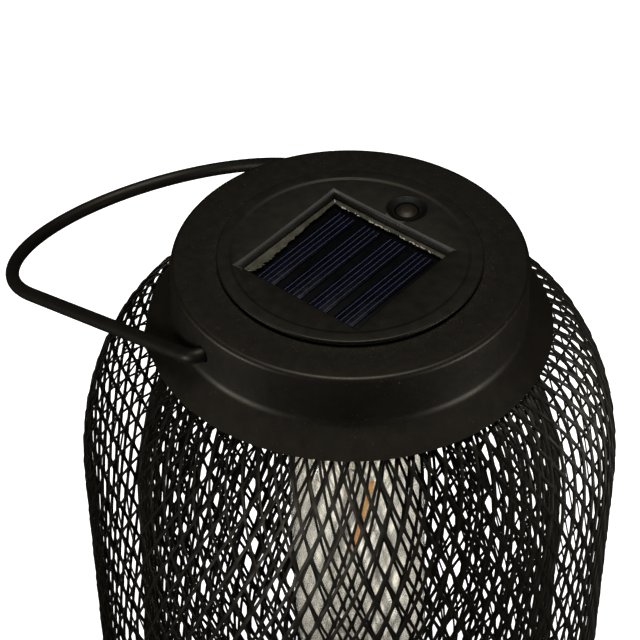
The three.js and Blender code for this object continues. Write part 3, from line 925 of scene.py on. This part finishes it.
def boss_shapes():
    """Screw bosses that hang from the module's top."""
    low, high = COVER_FLOOR + GAP, TOP_UNDER
    section = [(1.5, low), (3, low), (3, high), (1.5, high)]
    return [revolved(section, 24, place) for place in BOSS_PLACES]


def moulding_marks():
    """Small ejector marks left on the disc's face."""
    shapes = []
    for x, y, radius in ((-25.5, 19.6, 0.42), (-28.2, 13.9, 0.34), (-17.8, -25.6, 0.3)):
        low = DISC_TOP - 0.4
        shapes.append(revolved([(0, low), (radius, low), (radius * 0.8, low + 0.2),
                                (radius * 0.4, low + 0.27), (0, low + 0.28)], 12, (x, y)))
    return shapes


def add_module_top():
    shape = joined(module_top_shape(), *boss_shapes(), *moulding_marks())
    face = module_piece("module_face", shape, "black_plastic", ["module_top"], angle=30)
    to_module = AT_MODULE.inverted()

    # The pocket's two rear walls, which face the camera, get a lighter grey: painted reflection.
    def on_painted_reflection_wall(centre):
        place = to_module @ centre
        x, y = place.x - POCKET_X, place.y
        reach = max(abs(x), abs(y))
        rear = max(x, y) > POCKET / 2 - 0.5
        return (rear and POCKET / 2 - 0.5 < reach < POCKET / 2 + 1.4
                and POCKET_FLOOR < place.z < DISC_TOP)

    # The dimple's bowl gets a darker tone: painted shade in the recess.
    def in_shaded_dimple(centre):
        place = to_module @ centre
        out = math.hypot(place.x - BUTTON_X, place.y)
        return out < DIMPLE_R - 0.4 and DISC_TOP - DIMPLE_DEPTH - 0.2 < place.z < DISC_TOP - 0.4

    # Second finishes: painted reflection on the rear pocket walls, painted shade in the button's
    # dimple.
    second_finish(face, "pocket_wall_painted_reflection", on_painted_reflection_wall)
    second_finish(face, "dimple_painted_shade", in_shaded_dimple)
    seal = hoop(CAP_HOLE_R + 0.4, DISC_R - 0.7, GAP, DISC_UNDER - GAP, 0.2)
    module_piece("module_seal", seal, "pad_rubber", ["module_gasket"])
    crown = filleted([(0, BUTTON_FOOT), (BUTTON_R, BUTTON_FOOT, 0.3), (BUTTON_R, BUTTON_TOP - 1.0, 0.7),
                      (BUTTON_R * 0.55, BUTTON_TOP - 0.25, 1.5), (0, BUTTON_TOP)], 6)
    piece("power_button", revolved(crown, 48, (BUTTON_X, 0)), "button", "black_plastic",
          ["switch_button"], finish="button_plastic", at=AT_MODULE)


def add_panel():
    side = POCKET - 2 * GAP
    board_low = POCKET_FLOOR + GAP
    backing = box_shape((side, side, 1), (POCKET_X, 0, board_low + 0.5), 0.12)
    module_piece("panel_backing", backing, "board_black", ["panel_board"])
    cell_low = board_low + 1 + GAP
    pitch, width, length, thick = 9.6, 7.0, 38.0, 0.22
    finger_pitch, finger = 1.7, 0.15
    for i in range(4):
        y = (i - 1.5) * pitch
        shapes = [box_shape((length, width, thick), (POCKET_X, y, cell_low + thick / 2), 0.03)]
        for k in range(4):
            line_y = y + (k - 1.5) * finger_pitch
            shapes.append(box_shape((length - 0.6, finger, 0.05),
                                    (POCKET_X, line_y, cell_low + thick + 0.02)))
        made = module_piece(f"cell_strip_{i + 1}", joined(*shapes), "silicon",
                            [f"solar_cell_{i + 1}"])
        top = CAP_TOP + cell_low + thick
        second_finish(made, "finger_silver", lambda centre: centre.z > top + 0.005)
    resin_low = cell_low + 0.3 + GAP
    half = side / 2
    loops = [square_loop(half - 0.1, resin_low), square_loop(half, resin_low + 0.1),
             square_loop(half, resin_low + 0.5), square_loop(half - 0.1, resin_low + 0.6)]
    module_piece("panel_cast", lofted(loops), "clear_resin", ["panel_resin"])
    add_resin_edge(half, resin_low + 0.6)


def add_resin_edge(half, low):
    """The uneven bead of resin that has crept up two sides of the pocket, and its froth."""
    rng = np.random.default_rng(7)
    creep = ((1.1, 0.9), (0.8, 3.0), (0.25, 0.2), (0.2, 0.25))
    inner, middle, outer = [], [], []
    for turn, (start, end) in enumerate(creep):
        wobble = np.convolve(rng.uniform(-1, 1, 2 * EDGE_STEPS + 4), np.ones(5) / 5, "valid")
        for i in range(2 * EDGE_STEPS):
            s = i / EDGE_STEPS - 1
            width = start + (end - start) * (s + 1) / 2
            width *= 1 + 0.35 * wobble[i] + 0.12 * rng.uniform(-1, 1)
            rise = 0.55 * min(width, 1.0)
            for store, out, height in ((outer, half - 0.12, low + rise),
                                       (middle, half - 0.12 - 0.45 * width, low + 0.3 * rise),
                                       (inner, half - 0.12 - width, low + 0.02)):
                store.append((*side_place(turn, out, out * s), height))
    under = [(x, y, low - 0.02) for x, y, _ in inner]
    base = [(x, y, low - 0.02) for x, y, _ in outer]
    loops = [outer, middle, inner, under, base]
    module_piece("panel_resin_edge", skinned(loops, len(loops)), "clear_resin",
                 finish="resin_edge", angle=60)
    add_froth(half - 1.25, low)


def add_froth(out, low):
    """Bubbles along the pocket's +X side, in broken runs."""
    rng = np.random.default_rng(11)
    bubbles = []
    for _ in range(FROTH_BUBBLES):
        s = rng.uniform(-0.93, 0.9)
        run = math.sin(9 * s) + math.sin(23 * s + 1) + rng.uniform(-0.8, 0.8)
        size = rng.uniform(0.09, 0.24)
        far = out + rng.uniform(-0.22, 0.22)
        x, y = side_place(0, far, far * s)
        if run < -0.1:
            continue
        stretch = rng.uniform(1, 2.2)
        ball, shell = revolved([(0, -0.3 * size), (0.8 * size, -0.1 * size), (size, 0.2 * size),
                                (0.6 * size, 0.7 * size), (0, 0.85 * size)], 8)
        bubbles.append(([(x + px, y + py * stretch, low + 0.1 + pz) for px, py, pz in ball], shell))
    module_piece("panel_resin_froth", joined(*bubbles), "clear_resin", finish="resin_froth", angle=60)


def add_cover():
    outer, inner = SPIGOT_R, SPIGOT_R - 1.8
    top = TOP_UNDER - GAP
    shell = revolved(filleted([
        (0, COVER_BOTTOM + 0.4), (14, COVER_BOTTOM + 0.4, 0.4), (15, COVER_BOTTOM, 0.4),
        (outer, COVER_BOTTOM, 1.2), (outer, -17.0, 0.3), (outer - 0.35, -17.3, 0.2),
        (outer - 0.35, -18.0, 0.2), (outer, -18.3, 0.3), (outer, top, 0.3),
        (inner, top, 0.3), (inner, COVER_FLOOR, 0.8), (0, COVER_FLOOR),
    ], 4), 128)
    low, high = COVER_BOTTOM - 1, COVER_FLOOR + 1
    holes = [plug(1.6, low, high, 24, place) for place in BOSS_PLACES]
    holes.append(plug(4, low, high, 32))
    module_piece("module_case", carved(shell, *holes), "black_plastic", ["module_cover"], angle=30)
    for i, place in enumerate(BOSS_PLACES):
        module_piece(f"case_screw_{i + 1}", screw_shape(place), "zinc_steel",
                     [f"cover_screw_{i + 1}"], angle=40)


def screw_shape(place):
    """A pan-head screw with a cross recess and a threaded shank."""
    head = COVER_BOTTOM - GAP
    low, tip = head - 1.5, -15.0
    outline = filleted([(0, low), (1.7, low, 0.5), (2.6, low + 0.7, 0.5), (2.6, head, 0.1),
                        (1.15, head)], 4)
    turns = 9
    for i in range(turns):
        z = head + 0.6 + i * 1.1
        outline += [(0.95, z), (1.2, z + 0.25), (1.2, z + 0.4), (0.95, z + 0.65)]
    outline += [(0.8, tip - 0.8), (0, tip)]
    body = revolved(outline, 28, place)
    slots = [box_shape((2.6, 0.5, 1.4), (place[0], place[1], low)),
             box_shape((0.5, 2.6, 1.4), (place[0], place[1], low))]
    return carved(body, *slots)


# ---- Lamp ----


def glass_line():
    """The lamp glass's outer line, from its tip up to the cap."""
    dome = arc((0, GLASS_STRAIGHT_END), (GLASS_R, GLASS_STRAIGHT_END - GLASS_TIP), -90, 0, 16)
    shoulder_r = 6.0
    curve = arc((GLASS_R - shoulder_r, GLASS_STRAIGHT_TOP), (shoulder_r, 11), 0, 62, 8)
    end_r, end_z = curve[-1]
    neck = [(GLASS_NECK_R + out, GLASS_STRAIGHT_TOP + up)
            for out, up in ((2.0, 14), (0.6, 17.5), (0.1, 20.5), (0, 24))]
    neck.append((GLASS_NECK_R, -50))
    straight = [(GLASS_R, GLASS_STRAIGHT_END + (GLASS_STRAIGHT_TOP - GLASS_STRAIGHT_END) * f)
                for f in (0.25, 0.5, 0.75)]
    return dome + straight + curve + [p for p in neck if p[0] < end_r and p[1] > end_z]


def wall_body(line, thickness, segments):
    """A thin glass body: the line's outside and its inside, joined at the open end."""
    outline = sheet_outline(line, thickness)
    outline[-1] = (0, line[0][1] + thickness)
    return revolved(outline, segments)


def thread_body(outline, segments, low, high, pitch, depth):
    """A revolved body with a rolled thread between two heights."""
    points, faces = revolved(outline, segments)
    shaped = []
    for x, y, z in points:
        radius = math.hypot(x, y)
        if low < z < high and radius > 1:
            fade = min(1, (z - low) / pitch * 2, (high - z) / pitch * 2)
            wave = math.sin(2 * math.pi * z / pitch - math.atan2(y, x))
            scale = 1 + fade * depth * (wave - 1) / 2 / radius
            x, y = x * scale, y * scale
        shaped.append((x, y, z))
    return shaped, faces


def add_lamp():
    lip = HOLDER_TOP
    ribs = []
    for i in range(5):
        z = -35.0 - i * 2.0
        ribs += [(16.4, z + 0.5), (16.0, z), (16.0, z - 0.5), (16.4, z - 1.0)]
    holder = filleted([(5, lip - 2), (5, lip, 0.4), (14.5, lip, 0.8), (16.4, lip - 2.5, 0.6)]
                      + ribs + [(16.4, -45, 0.5), (15.6, -46.5, 0.5), (13.6, -46.5, 0.3),
                                (13.6, lip - 2, 0.5)], 4)
    module_piece("lamp_socket", revolved(holder, 96), "black_plastic", ["lamp_holder"],
                 at=AT_LAMP, angle=30)
    fine = [-40 - 0.35 * i for i in range(46)]
    cap = ([(0, -33)] + [(4.4, -33), (5.0, -33.3), (5.6, -34.2), (9.5, -35.4), (12.2, -37.4)]
           + [(13.1, z) for z in fine] + [(13.1, -56.5), (12.3, -56.5), (12.3, -39.6), (9, -36.4),
                                          (0, -36.4)])
    module_piece("lamp_screw_cap", thread_body(cap, 72, -53.5, -40, 3.6, 1.5), "nickel_plate",
                 ["bulb_cap"], at=AT_LAMP, angle=40)
    module_piece("lamp_glass", wall_body(glass_line(), GLASS_T, 96), "clear_glass",
                 ["bulb_glass"], at=AT_LAMP, angle=60)
    stem = filleted([(0, -85), (2.0, -85, 0.7), (2.8, -80, 3), (3.1, -63, 4), (6, -55.5, 2),
                     (10.7, -52, 0.4), (10.7, -50.6, 0.2), (0, -50.6)], 5)
    module_piece("lamp_stem", revolved(stem, 48), "clear_glass", ["glass_stem"], at=AT_LAMP,
                 angle=60)
    add_filament()


def add_filament():
    top, end = np.array((4.9, 0, -91.0)), np.array((-2.0, 0, -119.4))
    path = [top + (end - top) * f for f in np.linspace(0, 1, 24)]
    module_piece("lamp_filament", swept(path, 0.9, 16), "amber_phosphor", ["led_filament"],
                 at=AT_LAMP, angle=60)
    short = [(1.4, 0, -85.4), (2.6, 0, -87.6), (4.4, 0, -89), (5.2, 0, -90.4)]
    long = [(-1.3, 0, -85.5), (-2.6, 0, -88), (-4, 0, -95), (-5.2, 0, -110), (-5, 0, -119.5),
            (-3.6, 0, -121.6), (-2.3, 0, -120.1)]
    for name, guides in (("short", short), ("long", long)):
        module_piece(f"filament_lead_{name}", swept(curved(guides, 40), 0.33, 10),
                     "nickel_plate", [f"filament_wire_{name}"], at=AT_LAMP, angle=60)


def curved(guides, count):
    """A smooth line past the guide points (Catmull-Rom)."""
    g = np.array(guides, float)
    g = np.vstack([2 * g[0] - g[1], g, 2 * g[-1] - g[-2]])
    line = []
    spans = len(g) - 3
    for t in np.linspace(0, spans, count):
        i = min(int(t), spans - 1)
        u = t - i
        a, b, c, d = g[i:i + 4]
        line.append(0.5 * (2 * b + (c - a) * u + (2 * a - 5 * b + 4 * c - d) * u ** 2
                           + (3 * b - a - 3 * c + d) * u ** 3))
    return line


# ---- Pieces kept from the frame ----


KEPT = {
    "board_green": ("circuit_board", "power_inductor"),
    "board_black": ("switch_body", "control_chip"),
    "battery_wrap": ("battery_cell",),
    "black_plastic": ("battery_cradle",),
    "nickel_plate": ("battery_plate", "battery_spring"),
    "red_cable": ("lamp_lead_positive",),
    "black_cable": ("lamp_lead_negative",),
}


def finish_kept_nodes():
    for finish, names in KEPT.items():
        for name in names:
            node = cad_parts[name]
            node.data.materials.clear()
            node.data.materials.append(FINISH[finish])


# ---- Studio ----


def add_floor():
    mesh = bpy.data.meshes.new("floor")
    reach = 8.0
    mesh.from_pydata([(-reach, -reach, 0), (reach, -reach, 0), (reach, reach, 0),
                      (-reach, reach, 0)], [], [(0, 1, 2, 3)])
    floor = linked("floor", mesh)
    shader = Shader("floor_white").set(Roughness=0.9, Specular_IOR_Level=0.1,
                                       Emission_Color=(1, 1, 1, 1), Emission_Strength=0.85)
    shader.colour(shader.drift(400, (0.90, 0.90, 0.89), (0.92, 0.92, 0.91)))
    mesh.materials.append(shader.material)
    floor.visible_glossy = False


def add_light(name, kind, place, aim, energy, **values):
    data = bpy.data.lights.new(name, kind)
    data.energy = energy
    for key, value in values.items():
        setattr(data, key, value)
    light = linked(name, data)
    light.location = place
    light.rotation_mode = "QUATERNION"
    light.rotation_quaternion = (Vector(aim) - Vector(place)).to_track_quat("-Z", "Y")


def from_camera_side(degrees, distance, height):
    """A place round the lantern, by its angle from the camera's side, counted to the right."""
    angle = CAMERA_AZIMUTH + math.radians(degrees)
    return (math.sin(angle) * distance, -math.cos(angle) * distance, height)


def add_studio():
    add_floor()
    cap = (0, 0, 0.23)
    box_turn, box_distance, box_height, box_energy = 66, 0.9, 0.18, 3.8
    add_light("overhead", "SUN", (0, 0, 3), (0, 0, 0), 2.2, angle=math.radians(24))
    for name, turn in (("left_box", -box_turn), ("right_box", box_turn)):
        add_light(name, "AREA", from_camera_side(turn, box_distance, box_height), cap, box_energy,
                  shape="RECTANGLE", size=0.35, size_y=0.3)
    world = bpy.data.worlds.new("studio")
    world.use_nodes = True
    background = world.node_tree.nodes["Background"]
    background.inputs["Color"].default_value = (1, 1, 1, 1)
    background.inputs["Strength"].default_value = 0.004
    bpy.context.scene.world = world
    bpy.context.scene.view_settings.view_transform = "Standard"


add_base()
add_barrels()
add_cap()
add_bail()
add_module_top()
add_panel()
add_cover()
add_lamp()
finish_kept_nodes()
add_studio()
